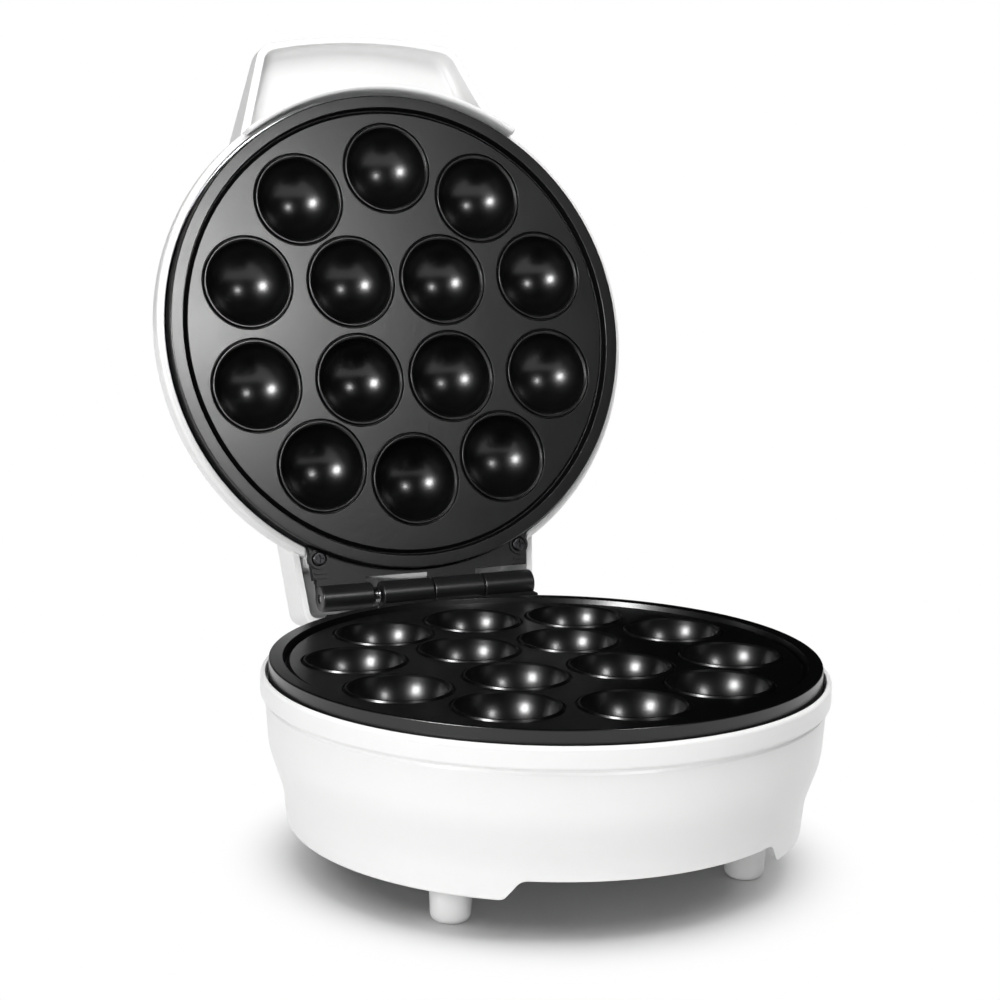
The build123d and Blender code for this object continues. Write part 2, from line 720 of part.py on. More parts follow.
# ---------------------------------------------------------------- wiring
def element_leads(run):
    """Two wires from the element's cold pins, down behind the cup and through the shield."""
    height = plate_floor - element_seat - element_tube_r
    angle = math.radians(90 - element_open_half)
    away = (-math.sin(angle), math.cos(angle))
    wires = []
    for side in (-1, 1):
        pin = [(element_r * math.cos(angle) + away[0] * (terminal_length + d),
                element_r * math.sin(angle) + away[1] * (terminal_length + d), height) for d in (0.1, 6)]
        x = lead_spacing / 2
        points = pin + [(pin[1][0] - 6, pin[1][1] - 1, height - 6), (x, lead_hole_y, -shield_depth + 5)]
        wires.append(tube([(side * px, py, pz) for px, py, pz in points + run], lead_r, lead_bend))
    return wires


def base_wiring():
    """Wires from the terminal block up to the element."""
    return element_leads([(lead_spacing / 2, lead_hole_y, cover_top() + block_height + 0.05)])


def lid_wiring():
    """Wires from the element to the lamps, between the shield and the lid's top."""
    run_z = -lid_depth + shell_wall + lead_clearance + lead_r
    return element_leads([(lead_spacing / 2, lead_hole_y, run_z), (lens_spacing / 2, lens_y + 20, run_z),
                          (lens_spacing / 2, lens_y + lamp_r + 0.05, run_z)])


def terminal_block():
    """Moulded terminal block on the bottom cover, under the shield's lead hole."""
    base = cover_top()
    body = block(-block_length / 2, block_length / 2, lead_hole_y - block_width / 2,
                 lead_hole_y + block_width / 2, base, base + block_height)
    return fillet(body.edges().filter_by(Axis.Z), 1.5)


def base_parts(plate):
    """Pieces of the lower half, in the half frame."""
    parts = {
        "base_housing": base_housing(),
        "base_plate": plate,
        "base_heating_element": heating_element(),
        "base_element_clips": element_clips(),
        "base_heat_shield": heat_shield(),
        "base_shield_screws": shield_screws(),
        "thermostat": thermostat(),
        "base_thermal_fuse": thermal_fuse(),
        "base_hinge_bracket": hinge_bracket(base_axis_z, (second_x, fourth_x)),
        "base_hinge_screws": hinge_screws(),
        "bottom_cover": bottom_cover(),
        "bottom_cover_screws": cover_screws(),
        "cord_gland": cord_gland(),
        "terminal_block": terminal_block(),
        "base_wiring": base_wiring(),
    }
    for name, (x, y) in foot_places().items():
        parts[name] = foot(x, y)
    return parts


def lid_parts(plate):
    """Pieces of the lid, in the half frame; X runs the other way once it is turned over."""
    left, right = lens_places()
    first = -(first_x + knuckle_length)
    third = -(third_x + knuckle_length)
    return {
        "lid_shell": lid_shell(),
        "lid_plate": plate,
        "lid_heating_element": heating_element(),
        "lid_element_clips": element_clips(),
        "lid_heat_shield": heat_shield(),
        "lid_shield_screws": shield_screws(),
        "lid_thermal_fuse": thermal_fuse(),
        "lid_hinge_bracket": hinge_bracket(lid_axis_z, (first, third)),
        "lid_hinge_screws": hinge_screws(),
        "power_lens": indicator_lens(*right),
        "ready_lens": indicator_lens(*left),
        "power_lamp": indicator_lamp(*right),
        "ready_lamp": indicator_lamp(*left),
        "lid_wiring": lid_wiring(),
    }


def node(piece, place):
    """One node: the piece's solids, or the group's, set in their place."""
    pieces = piece if isinstance(piece, list) else [piece]
    return Compound(children=[place * solid for p in pieces for solid in p.solids()])


def build():
    """Every node in its place, with the origin in the middle of the footprint."""
    plate = cooking_plate()
    nodes = {name: node(piece, base_place) for name, piece in base_parts(plate).items()}
    nodes.update({name: node(piece, lid_place) for name, piece in lid_parts(plate).items()})
    nodes["hinge_pin"] = node(hinge_pin(), Pos(0, 0, 0))
    nodes["hinge_spring"] = node(hinge_spring(), Pos(0, 0, 0))
    boxes = [shape.bounding_box() for shape in nodes.values()]
    middle = (min(box.min.Y for box in boxes) + max(box.max.Y for box in boxes)) / 2
    shift = Pos(0, -middle, 0)
    return {name: shift * shape for name, shape in nodes.items()}, shift


if __name__ == "__main__":
    os.makedirs("parts", exist_ok=True)
    made, moved = build()
    for name, shape in made.items():
        export_step(shape, f"parts/{name}.step")
    print(len(made), "nodes; plate axis at y =", round(moved.position.Y, 3), "hinge axis at y =",
          round(hinge_y + moved.position.Y, 3), "z =", round(hinge_z, 3))
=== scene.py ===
# %% [markdown]
# # A cake pop maker with its lid open
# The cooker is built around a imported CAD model. The CAD pieces already stand in the right
# place and move with the right half, so this script first gives every one of them a finish,
# then models the pieces that the eye rests on a second time with softer edges, and last
# sets up the camera and the light.

# %% load the frame
import json
import math

import bpy
from mathutils import Matrix, Vector


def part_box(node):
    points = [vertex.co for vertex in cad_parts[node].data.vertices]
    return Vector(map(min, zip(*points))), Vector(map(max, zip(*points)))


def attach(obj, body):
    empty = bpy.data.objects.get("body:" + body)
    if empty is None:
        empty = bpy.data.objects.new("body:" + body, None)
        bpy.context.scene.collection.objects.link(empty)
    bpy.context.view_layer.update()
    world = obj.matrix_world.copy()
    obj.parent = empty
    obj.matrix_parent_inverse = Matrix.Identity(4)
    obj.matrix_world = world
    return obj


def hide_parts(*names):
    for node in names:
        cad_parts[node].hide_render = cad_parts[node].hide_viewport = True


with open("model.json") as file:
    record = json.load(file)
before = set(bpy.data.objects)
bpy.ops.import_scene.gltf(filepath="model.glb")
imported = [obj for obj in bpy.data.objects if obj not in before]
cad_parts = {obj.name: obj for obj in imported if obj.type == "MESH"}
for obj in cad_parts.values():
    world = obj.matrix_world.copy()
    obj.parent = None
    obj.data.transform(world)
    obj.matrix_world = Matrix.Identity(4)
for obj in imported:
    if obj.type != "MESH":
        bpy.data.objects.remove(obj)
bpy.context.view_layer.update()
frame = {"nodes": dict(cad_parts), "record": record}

# %% [markdown]
# ## Shader maths as plain expressions
# A material on a real object is never one flat value: plastic has a faint grain, a coated
# casting is mottled. Such changes are sums and products of textures. A small class wraps a
# node socket, so that they can be written as Python expressions, and one method adds any
# other kind of node. The trees could be wired by hand in the shader editor just as well, but
# written like this a finish can be read in one line.

# %% shader maths
class Value:
    """A socket in a material's node tree that can be used in arithmetic."""

    def __init__(self, tree, socket):
        self.tree, self.socket = tree, socket

    def math(self, operation, a, b):
        return node(self.tree, "ShaderNodeMath", {"operation": operation}, {0: a, 1: b})

    def __add__(self, other):
        return self.math("ADD", self, other)

    def __sub__(self, other):
        return self.math("SUBTRACT", self, other)

    def __mul__(self, other):
        return self.math("MULTIPLY", self, other)

    __radd__, __rmul__ = __add__, __mul__


def node(tree, kind, settings=None, inputs=None, output=0):
    """Adds a node, sets it, fills or links its inputs, and returns one output as a Value."""
    made = tree.nodes.new(kind)
    for name, value in (settings or {}).items():
        setattr(made, name, value)
    for name, value in (inputs or {}).items():
        if isinstance(value, Value):
            tree.links.new(value.socket, made.inputs[name])
        else:
            made.inputs[name].default_value = value
    return Value(tree, made.outputs[output])


def material(name, base_color, roughness, metallic=0.0, **constants):
    """A material with a Principled shader; returns the material, its tree and the shader."""
    made = bpy.data.materials.new(name)
    made.use_nodes = True
    shader = made.node_tree.nodes["Principled BSDF"]
    shader.inputs["Base Color"].default_value = (*base_color, 1)
    shader.inputs["Roughness"].default_value = roughness
    shader.inputs["Metallic"].default_value = metallic
    for socket, value in constants.items():
        shader.inputs[socket.replace("_", " ")].default_value = value
    return made, made.node_tree, shader


print("shader values can be added, subtracted and multiplied")

# %% textures for the finishes
def place(tree):
    """Object coordinates, in metres."""
    return node(tree, "ShaderNodeTexCoord", output="Object")


def noise(tree, scale, detail=2.0):
    """Smooth random values between 0 and 1; scale is in blotches per metre."""
    return node(tree, "ShaderNodeTexNoise", inputs={
        "Vector": place(tree), "Scale": scale, "Detail": detail})


def tint(tree, mask, dark, light):
    """A colour between two others."""
    return node(tree, "ShaderNodeMix", {"data_type": "RGBA"},
                {0: mask, 6: (*dark, 1), 7: (*light, 1)}, output=2)


def feed(tree, shader, **sources):
    """Links values to the shader's sockets."""
    for socket, value in sources.items():
        tree.links.new(value.socket, shader.inputs[socket.replace("_", " ")])


def bump(tree, height, depth):
    """Normals of a relief that is depth metres high."""
    return node(tree, "ShaderNodeBump", inputs={"Height": height, "Distance": depth})


print("texture helpers ready")

# %% [markdown]
# ## Finishes
# Two finishes make the picture: white moulded plastic with a soft gloss, and the black
# coating of the cast plates, which is satin, mottled and full of very fine grain. Pictures
# of such surfaces would need unwrapped pieces. Noise in object coordinates needs none, and its
# grain has one size on every piece. The grain is a relief of some hundredths of a millimetre at
# most, given in metres.

# %% plastics and the plates' coating
def white_plastic(name, tone=0.80, roughness=0.30, grain=6e-6):
    """Moulded white, a little darker and yellower in large soft patches."""
    made, tree, shader = material(name, (tone,) * 3, roughness)
    feed(tree, shader,
         Base_Color=tint(tree, noise(tree, 14), (tone * 0.985, tone * 0.985, tone * 0.98), (tone,) * 3),
         Roughness=roughness + 0.06 * (noise(tree, 90) - 0.5),
         Normal=bump(tree, noise(tree, 1400), grain))
    return made


def plate_coating(name):
    """Black non-stick coating: satin and mottled, with a thin clear skin."""
    made, tree, shader = material(name, (0.002,) * 3, 0.3, IOR=1.5, Coat_Weight=0.25, Coat_Roughness=0.2)
    blotch = noise(tree, 26, detail=4)
    grain = noise(tree, 3200, detail=1) + 2.5 * noise(tree, 420, detail=3)
    feed(tree, shader,
         Base_Color=tint(tree, blotch, (0.001, 0.001, 0.0011), (0.003, 0.003, 0.0032)),
         Roughness=0.24 + 0.12 * blotch,
         Normal=bump(tree, grain, 1.2e-5))
    return made


def black_plastic(name):
    """Satin black moulding of the hinge."""
    made, tree, shader = material(name, (0.008,) * 3, 0.33)
    feed(tree, shader,
         Base_Color=tint(tree, noise(tree, 60), (0.006, 0.006, 0.006), (0.011, 0.011, 0.012)),
         Roughness=0.28 + 0.1 * noise(tree, 300),
         Normal=bump(tree, noise(tree, 2600), 1e-5))
    return made


print("plastics ready")

# %% metals and small plastic pieces
def metal(name, dark, light, roughness, scale=900):
    """Bare or plated metal that changes between two tones; scale is that of its relief."""
    made, tree, shader = material(name, light, roughness, metallic=1.0)
    feed(tree, shader,
         Base_Color=tint(tree, noise(tree, 120, detail=3), dark, light),
         Roughness=roughness + 0.12 * (noise(tree, 240) - 0.5),
         Normal=bump(tree, noise(tree, scale), 4e-6))
    return made


def dull(name, dark, light, roughness, grain=1.5e-5):
    """Dull plastic or woven sleeve that changes between two tones."""
    made, tree, shader = material(name, light, roughness)
    feed(tree, shader,
         Base_Color=tint(tree, noise(tree, 200, detail=3), dark, light),
         Roughness=roughness + 0.1 * (noise(tree, 400) - 0.5),
         Normal=bump(tree, noise(tree, 1200), grain))
    return made


def lens(name, colour):
    """Clear coloured plastic or glass."""
    made, tree, shader = material(name, colour, 0.12, Transmission_Weight=0.7, IOR=1.49)
    feed(tree, shader,
         Roughness=0.1 + 0.05 * noise(tree, 500),
         Normal=bump(tree, noise(tree, 700), 8e-6))
    return made


print("metals ready")

# %% a finish for every CAD node
finishes = {
    "shell_white": white_plastic("White shell plastic"),
    "cover_white": white_plastic("Painted bottom cover", tone=0.62, roughness=0.5, grain=2e-5),
    "foot_rubber": white_plastic("White foot plastic", tone=0.78, roughness=0.38, grain=1e-5),
    "plate_coating": plate_coating("Black plate coating"),
    "bracket_black": black_plastic("Black hinge plastic"),
    "screw_black": metal("Blackened screw", (0.03, 0.03, 0.03), (0.07, 0.07, 0.075), 0.35),
    "screw_steel": metal("Plated screw", (0.45, 0.46, 0.48), (0.62, 0.63, 0.65), 0.3),
    "steel": metal("Drawn steel", (0.42, 0.42, 0.43), (0.6, 0.6, 0.61), 0.25),
    "element_steel": metal("Heat-tinted steel", (0.2, 0.15, 0.11), (0.42, 0.38, 0.34), 0.4),
    "shield_aluminium": metal("Rolled aluminium", (0.68, 0.69, 0.7), (0.8, 0.81, 0.82), 0.35),
    "shield_steel": metal("Zinc-coated sheet", (0.5, 0.52, 0.54), (0.7, 0.71, 0.72), 0.4, scale=60),
    "gland_grey": dull("Grey bush plastic", (0.5, 0.51, 0.52), (0.6, 0.61, 0.62), 0.5),
    "block_white": dull("Terminal block plastic", (0.7, 0.69, 0.64), (0.8, 0.79, 0.74), 0.5),
    "thermostat_brown": dull("Thermostat moulding", (0.09, 0.05, 0.03), (0.16, 0.1, 0.06), 0.55),
    "fuse_metal": metal("Fuse can", (0.6, 0.6, 0.62), (0.75, 0.75, 0.76), 0.3),
    "wire_sleeve": dull("Woven wire sleeve", (0.6, 0.59, 0.54), (0.78, 0.77, 0.71), 0.8, grain=6e-5),
    "lens_red": lens("Red lens", (0.65, 0.03, 0.02)),
    "lens_green": lens("Green lens", (0.03, 0.45, 0.08)),
    "lamp_glass": lens("Lamp glass", (0.9, 0.7, 0.55)),
}
slots = {part["node"]: part["material_slot"] for part in frame["record"]["subparts"]}
for name, piece in frame["nodes"].items():
    piece.data.materials.clear()
    piece.data.materials.append(finishes[slots[name]])
print("finishes:", len(finishes))

# %% [markdown]
# ## From half frame to the open cooker
# Both halves are modelled face up, in millimetres, with the plate's axis at the origin and
# zero height at the top of the plate's rim, as they would lie on a bench. They could be drawn
# where they stand, but a piece that lies level at the origin is far easier to draw and to
# check. A finished half is then set on the feet, or turned over and swung back round the
# hinge, as the record says.

# %% placing the halves
MM = 0.001
hinge = frame["record"]["behaviour"]["joints"][0]
hinge_axis = Vector(hinge["pos_m"])
open_angle = math.radians(hinge["range_deg"][1])
plate_low, plate_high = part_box("base_plate")
plate_y = (plate_low.y + plate_high.y) / 2
rim_z = plate_high.z
closed_gap = 0.4 * MM
hinge_y = (hinge_axis.y - plate_y) / MM          # hinge axis behind the plate's axis, in mm

set_on_feet = Matrix.Translation((0, plate_y, rim_z))
turned_over = Matrix.Translation((0, plate_y, rim_z + closed_gap)) @ Matrix.Rotation(math.pi, 4, "Y")
swung_open = (Matrix.Translation(hinge_axis) @ Matrix.Rotation(-open_angle, 4, "X")
              @ Matrix.Translation(-hinge_axis) @ turned_over)
places = {"base": set_on_feet, "lid": swung_open}
print("plate axis y", round(plate_y, 5), "rim z", round(rim_z, 5), "hinge", round(hinge_y, 2))

# %% [markdown]
# ## Turning, cutting and joining
# Most of this cooker is turned about one axis. An outline is drawn as corners with a
# rounding at each, because moulded and cast edges are never sharp and their thin highlights
# are what the eye reads. A ring is then extruded from one point of the outline to the next,
# where a Screw modifier would leave its seam and its poles to be mended.

# %% outlines with rounded corners
nearly_straight = 1.55            # half a corner's angle, in radians, from which it isn't rounded


def soften(corners, steps=5):
    """Points of an open outline whose corners (a, b, rounding) are turned into arcs."""
    points = [Vector(corners[0][:2])]
    for before, corner, after in zip(corners, corners[1:], corners[2:]):
        middle, radius = Vector(corner[:2]), corner[2]
        back = (Vector(before[:2]) - middle).normalized()
        ahead = (Vector(after[:2]) - middle).normalized()
        half = back.angle(ahead) / 2
        if radius == 0 or half > nearly_straight:
            points.append(middle)
            continue
        start = middle + back * radius / math.tan(half)
        centre = middle + (back + ahead).normalized() * radius / math.sin(half)
        reach = start - centre
        turn = math.pi - 2 * half
        side = 1 if back.x * ahead.y - back.y * ahead.x < 0 else -1
        for n in range(steps + 1):
            angle = side * turn * n / steps
            points.append(centre + Vector((reach.x * math.cos(angle) - reach.y * math.sin(angle),
                                           reach.x * math.sin(angle) + reach.y * math.cos(angle))))
    return points + [Vector(corners[-1][:2])]


print("points of one rounded corner:", len(soften([(0, 0, 0), (1, 0, 0.2), (1, 1, 0)])) - 2)

# %% turned and extruded pieces
plate_turns, shell_turns, lip_turns = 144, 192, 240       # points round a turned piece


def alone(piece):
    """Selects one object and nothing else."""
    bpy.ops.object.select_all(action="DESELECT")
    piece.select_set(True)
    bpy.context.view_layer.objects.active = piece


def close_up(piece, gap=0.002):
    """Merges points within a gap in millimetres, and turns the faces outwards."""
    alone(piece)
    bpy.ops.object.mode_set(mode="EDIT")
    bpy.ops.mesh.select_all(action="SELECT")
    bpy.ops.mesh.remove_doubles(threshold=gap * MM)
    bpy.ops.mesh.normals_make_consistent(inside=False)
    bpy.ops.object.mode_set(mode="OBJECT")
    return piece


def lathe(name, outline, turns, centre=(0, 0)):
    """Turns an outline of (radius, height) points about an upright axis; radius 0 ends in a pole."""
    radius, height = outline[0]
    bpy.ops.mesh.primitive_circle_add(vertices=turns, radius=radius * MM)
    piece = bpy.context.object
    piece.name = name
    bpy.ops.object.mode_set(mode="EDIT")
    bpy.ops.transform.translate(value=(0, 0, height * MM))
    for new_radius, new_height in outline[1:]:
        bpy.ops.mesh.extrude_region_move(
            TRANSFORM_OT_translate={"value": (0, 0, (new_height - height) * MM)})
        if new_radius == 0:
            bpy.ops.mesh.merge(type="CENTER")
            break
        scale = new_radius / radius
        bpy.ops.transform.resize(value=(scale, scale, 1), center_override=(0, 0, 0))
        radius, height = new_radius, new_height
    bpy.ops.mesh.select_all(action="SELECT")
    bpy.ops.transform.translate(value=(centre[0] * MM, centre[1] * MM, 0))
    bpy.ops.object.mode_set(mode="OBJECT")
    return piece


def prism(name, outline, low, high, axis="Z"):
    """A closed outline filled and extruded along an axis between two distances."""
    bpy.ops.mesh.primitive_circle_add(vertices=len(outline), radius=MM, fill_type="NGON")
    piece = bpy.context.object
    piece.name = name
    for corner, (a, b) in zip(piece.data.vertices, outline):
        corner.co = Vector({"Z": (a, b, low), "X": (low, a, b), "Y": (a, low, b)}[axis]) * MM
    move = {"Z": (0, 0, 1), "X": (1, 0, 0), "Y": (0, 1, 0)}[axis]
    bpy.ops.object.mode_set(mode="EDIT")
    bpy.ops.mesh.select_all(action="SELECT")
    bpy.ops.mesh.extrude_region_move(
        TRANSFORM_OT_translate={"value": tuple((high - low) * MM * part for part in move)})
    bpy.ops.mesh.select_all(action="SELECT")
    bpy.ops.mesh.normals_make_consistent(inside=False)
    bpy.ops.object.mode_set(mode="OBJECT")
    return piece


def block(name, x, y, z):
    """A box between two distances on each axis."""
    return prism(name, [(x[0], y[0]), (x[1], y[0]), (x[1], y[1]), (x[0], y[1])], *z)


print("a turned ring of the shells has", shell_turns, "sides")

# %% [markdown]
# What isn't round is cut or added with Boolean modifiers, which are applied at once, and its
# edges are rounded with a bevel. A piece that is done stands in for the plain one of the CAD
# model. Its normals follow the large faces, so that a flat stays flat beside a rounded edge.

# %% joining, cutting and rounding
def join(name, pieces):
    """Joins pieces into the first one."""
    bpy.ops.object.select_all(action="DESELECT")
    for piece in pieces:
        piece.select_set(True)
    bpy.context.view_layer.objects.active = pieces[0]
    bpy.ops.object.join()
    pieces[0].name = name
    return pieces[0]


def carve(piece, tool, operation="DIFFERENCE"):
    """Cuts with, or unites with, another solid, which is used up."""
    alone(piece)
    change = piece.modifiers.new("carve", "BOOLEAN")
    change.operation, change.object, change.solver = operation, tool, "EXACT"
    bpy.ops.object.modifier_apply(modifier=change.name)
    bpy.data.objects.remove(tool)
    return piece


def soft_edges(piece, width, segments, angle=35):
    """Rounds the edges that bend by more than an angle in degrees."""
    alone(piece)
    change = piece.modifiers.new("soften", "BEVEL")
    change.width, change.segments = width * MM, segments
    change.limit_method, change.angle_limit = "ANGLE", math.radians(angle)
    bpy.ops.object.modifier_apply(modifier=change.name)
    return piece


print("cutting helpers ready")

# %% setting a piece in its place
smooth_below = math.radians(32)   # edges that bend less than this are shaded as one curve


def install(piece, half, finish, *nodes):
    """Sets a half-frame piece in its place, finishes it and lets it stand for CAD nodes."""
    piece.data.transform(places[half])
    alone(piece)
    bpy.ops.object.shade_smooth_by_angle(angle=smooth_below)
    change = piece.modifiers.new("flats stay flat", "WEIGHTED_NORMAL")
    change.keep_sharp = True
    bpy.ops.object.modifier_apply(modifier=change.name)
    piece.data.materials.clear()
    piece.data.materials.append(finishes[finish])
    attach(piece, half)
    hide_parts(*nodes)
    print(piece.name, "faces:", len(piece.data.polygons))


print("pieces go to", ", ".join(places))

# %% [markdown]
# ## The cast plates
# One casting serves both halves. Its field is a flat sheet between an outer ring and
# fourteen holes, and the cups are turned once and copied into the holes. Booleans could cut
# them too, but a sheet that is filled between circles has no slivers. Round each cup runs a
# fine groove and then a raised lip, and these two are the dark and the bright ring that the
# photograph shows. A channel between field and rim catches spilt batter.

# %% cup places
cup_ring_radius = 71.5
cup_count_outer = 10
hinge_cup_inset = 5.9
inner_cup_offset = 21.4


def cup_places():
    """Centres of the cups: ten in a ring, the one at the hinge drawn in, and four inside it."""
    ring = []
    for n in range(cup_count_outer):
        angle = math.radians(90 + 360 / cup_count_outer * n)
        reach = cup_ring_radius - (hinge_cup_inset if n == 0 else 0)
        ring.append((reach * math.cos(angle), reach * math.sin(angle)))
    return ring + [(x * inner_cup_offset, y * inner_cup_offset) for x in (-1, 1) for y in (-1, 1)]


print("cups:", len(cup_places()))

# %% sizes of the casting
plate_radius = 103.9
rim_width = 5.3
channel_width, channel_slope = 2.6, 0.9
field_margin = 1.4                # the field's outermost strip, which is turned with the rim
field_height = -1.6
channel_height = -3.75            # a narrow channel stays black, because no lamp shines into it
plate_underside = -4.0
skirt_bottom = -11.6
skirt_wall = 2.4
cup_radius = 18.2
cup_ball_height = -0.6            # centre of the ball that the cups mould
cup_start = (18.17, -1.75)        # where the lip ends and the hollow ball begins
crest_out, crest_in, crest_height = 19.3, 18.75, -1.0
groove_radius, groove_height = 19.9, -2.75
cup_hole = 20.6                   # the groove's outer edge
bowl_hole = 20.3                  # the cup's bowl at the plate's underside
cup_turns = 64
print("plate", 2 * plate_radius, "mm across, cups", 2 * cup_radius, "mm")

# %% the casting
def arc_down(radius, start_height, steps):
    """Outline of a hollow ball from a height down to its pole."""
    first = math.acos((cup_ball_height - start_height) / radius)
    turns = [first * (1 - n / steps) for n in range(steps)]
    ball = [(radius * math.sin(turn), cup_ball_height - radius * math.cos(turn)) for turn in turns]
    return ball + [(0, cup_ball_height - radius)]


def sheet_with_holes(name, rim_radius, height, hole):
    """A flat ring of sheet with a hole for every cup."""
    bpy.ops.mesh.primitive_circle_add(vertices=plate_turns, radius=rim_radius * MM,
                                      location=(0, 0, height * MM))
    sheet = bpy.context.object
    sheet.name = name
    bpy.ops.object.transform_apply()
    bpy.ops.object.mode_set(mode="EDIT")
    for x, y in cup_places():
        bpy.ops.mesh.primitive_circle_add(vertices=cup_turns, radius=hole * MM,
                                          location=(x * MM, y * MM, height * MM))
    bpy.ops.mesh.select_all(action="SELECT")
    bpy.ops.mesh.fill(use_beauty=True)
    bpy.ops.object.mode_set(mode="OBJECT")
    return sheet


def cup_skin(outline):
    """The same turned outline at every cup's place."""
    first, *others = cup_places()
    cup = lathe("cup", outline, cup_turns, first)
    copies = [cup]
    for x, y in others:
        alone(cup)
        bpy.ops.object.duplicate()
        copy = bpy.context.object
        copy.data.transform(Matrix.Translation(((x - first[0]) * MM, (y - first[1]) * MM, 0)))
        copies.append(copy)
    return copies


def casting(name):
    """The whole plate, face up in the half frame."""
    band_in, skirt_in = plate_radius - rim_width, plate_radius - skirt_wall
    field_edge = band_in - channel_width
    rim = soften([(field_edge - field_margin, field_height, 0), (field_edge, field_height, 0.25),
                  (band_in - channel_slope, channel_height, 0.2), (band_in, 0, 0.25),
                  (plate_radius, 0, 0.6), (plate_radius, skirt_bottom, 0.5),
                  (skirt_in, skirt_bottom, 0.5), (skirt_in, plate_underside, 0)])
    lip = soften([(cup_hole, field_height, 0), (cup_hole - 0.15, field_height, 0.15),
                  (groove_radius, groove_height, 0.2), (crest_out, crest_height, 0.25),
                  (crest_in, crest_height, 0.25), (*cup_start, 0)], steps=4)
    pieces = [lathe("rim", rim, plate_turns),
              sheet_with_holes("field", field_edge - field_margin, field_height, cup_hole),
              sheet_with_holes("underside", skirt_in, plate_underside, bowl_hole)]
    pieces += cup_skin([*lip, *arc_down(cup_radius, -2.0, 18)])
    pieces += cup_skin([(bowl_hole, plate_underside),
                        *arc_down(cup_radius + skirt_wall, plate_underside - 0.8, 10)])
    return close_up(join(name, pieces), gap=0.01)


print("points down one cup:", len(arc_down(cup_radius, -2.0, 18)))

# %% both plates
lower_plate = casting("lower_cooking_plate")
alone(lower_plate)
bpy.ops.object.duplicate()
upper_plate = bpy.context.object
upper_plate.name = "upper_cooking_plate"
install(lower_plate, "base", "plate_coating", "base_plate")
install(upper_plate, "lid", "plate_coating", "lid_plate")

# %% [markdown]
# ## The tub
# The lower shell is turned as one closed wall: a fat rounded bead round the plate, a belly, a
# waist and a foot, and the same curves again on the inside. What isn't round is cut or added
# after that: the flat seat of the hinge, the block behind it, the seat of the cord's bush, and
# the raised stretch of the lower edge that leaves the feet in view. A single skin with a
# Solidify modifier would be quicker, but the ledge that carries the plate needs a real section.

# %% sizes of the tub
shell_bore = 105.1
ledge_radius = 101.5
ledge_top, ledge_low = -12.2, -14.6
bead_top, bead_low = -5.0, -13.4
bead_round = 1.4
seam_top, seam_low = bead_low - 0.1, bead_low - 1.1       # fine dark seam below the bead
tub_bead, tub_shoulder, tub_waist, tub_foot = 107.1, 104.0, 98.6, 97.2
tub_seam = tub_bead - 2.3
tub_low, waist_height, shoulder_height = -62.1, -48.5, -33.0
belly_round = 34
shell_wall = 2.5
hinge_deck = -7.6                 # seat of the hinge bracket
seat_half = 52.0                  # half the width of that seat
seat_front = hinge_y - 27.8
hinge_screw_x, hinge_screw_y = 46.5, hinge_y - 17.1
print("tub", 2 * tub_bead, "mm across,", -tub_low, "mm deep")

# %% the wall of the tub
def tub_wall():
    """The turned wall, drawn once round from the inside of the foot."""
    foot_in = (tub_foot - shell_wall, tub_low, 0.9)
    waist_in = (tub_waist - shell_wall, waist_height, belly_round)
    start = ((foot_in[0] + waist_in[0]) / 2, (tub_low + waist_height) / 2, 0)
    corners = [waist_in, (tub_shoulder - shell_wall, shoulder_height, belly_round),
               (ledge_radius + 0.9, ledge_low, 0.2), (ledge_radius, ledge_low, 0.3),
               (ledge_radius, ledge_top, 0.3), (shell_bore, ledge_top, 0.2), (shell_bore, bead_top, 0.5),
               (tub_bead, bead_top, bead_round), (tub_bead, bead_low, bead_round),
               (tub_seam, seam_top, 0.2), (tub_seam, seam_low, 0.2), (tub_bead - 1.8, bead_low - 1.9, 0.4),
               (tub_shoulder, shoulder_height, belly_round), (tub_waist, waist_height, belly_round),
               (tub_foot, tub_low, 1.0), foot_in]
    return close_up(lathe("tub", soften([start, *corners, start], 7), shell_turns))


tub = tub_wall()
print("tub wall faces:", len(tub.data.polygons))

# %% tools for what isn't round
beyond = 150                      # a cutting tool that reaches this far passes right through
pillar_radius = 4.6


def drum(name, radius, low, high, centre=(0, 0), axis="Z", sides=48):
    """A solid cylinder between two distances along an axis."""
    turn = 2 * math.pi / sides
    return prism(name, [(centre[0] + radius * math.cos(turn * n), centre[1] + radius * math.sin(turn * n))
                        for n in range(sides)], low, high, axis)


def nothing_selected(piece):
    """Clears the selection inside a piece."""
    alone(piece)
    bpy.ops.object.mode_set(mode="EDIT")
    bpy.ops.mesh.select_all(action="DESELECT")
    bpy.ops.object.mode_set(mode="OBJECT")


def round_level(piece, height, width):
    """Rounds the edges that lie level at one height."""
    nothing_selected(piece)
    points = piece.data.vertices
    for edge in piece.data.edges:
        edge.select = all(abs(points[n].co.z - height * MM) < 1e-5 for n in edge.vertices)
    bpy.ops.object.mode_set(mode="EDIT")
    bpy.ops.mesh.bevel(offset=width * MM, segments=6, affect="EDGES")
    bpy.ops.object.mode_set(mode="OBJECT")
    return piece


def pillars(bottom):
    """The two screw pillars under a hinge bracket, down to a height."""
    return [drum("pillar", pillar_radius, bottom, hinge_deck, (side * hinge_screw_x, hinge_screw_y))
            for side in (-1, 1)]


def clear_bore(piece):
    """Cuts away what would stand in the room of the plate's skirt."""
    return carve(piece, drum("bore", shell_bore + 0.15, ledge_top + 0.3, 30, sides=shell_turns))


def bracket_seat(back):
    """The tool that cuts the flat seat of a hinge bracket."""
    return block("seat", (-seat_half, seat_half), (seat_front, back), (hinge_deck, 20))


print("a cutting tool reaches", beyond, "mm from the axis")

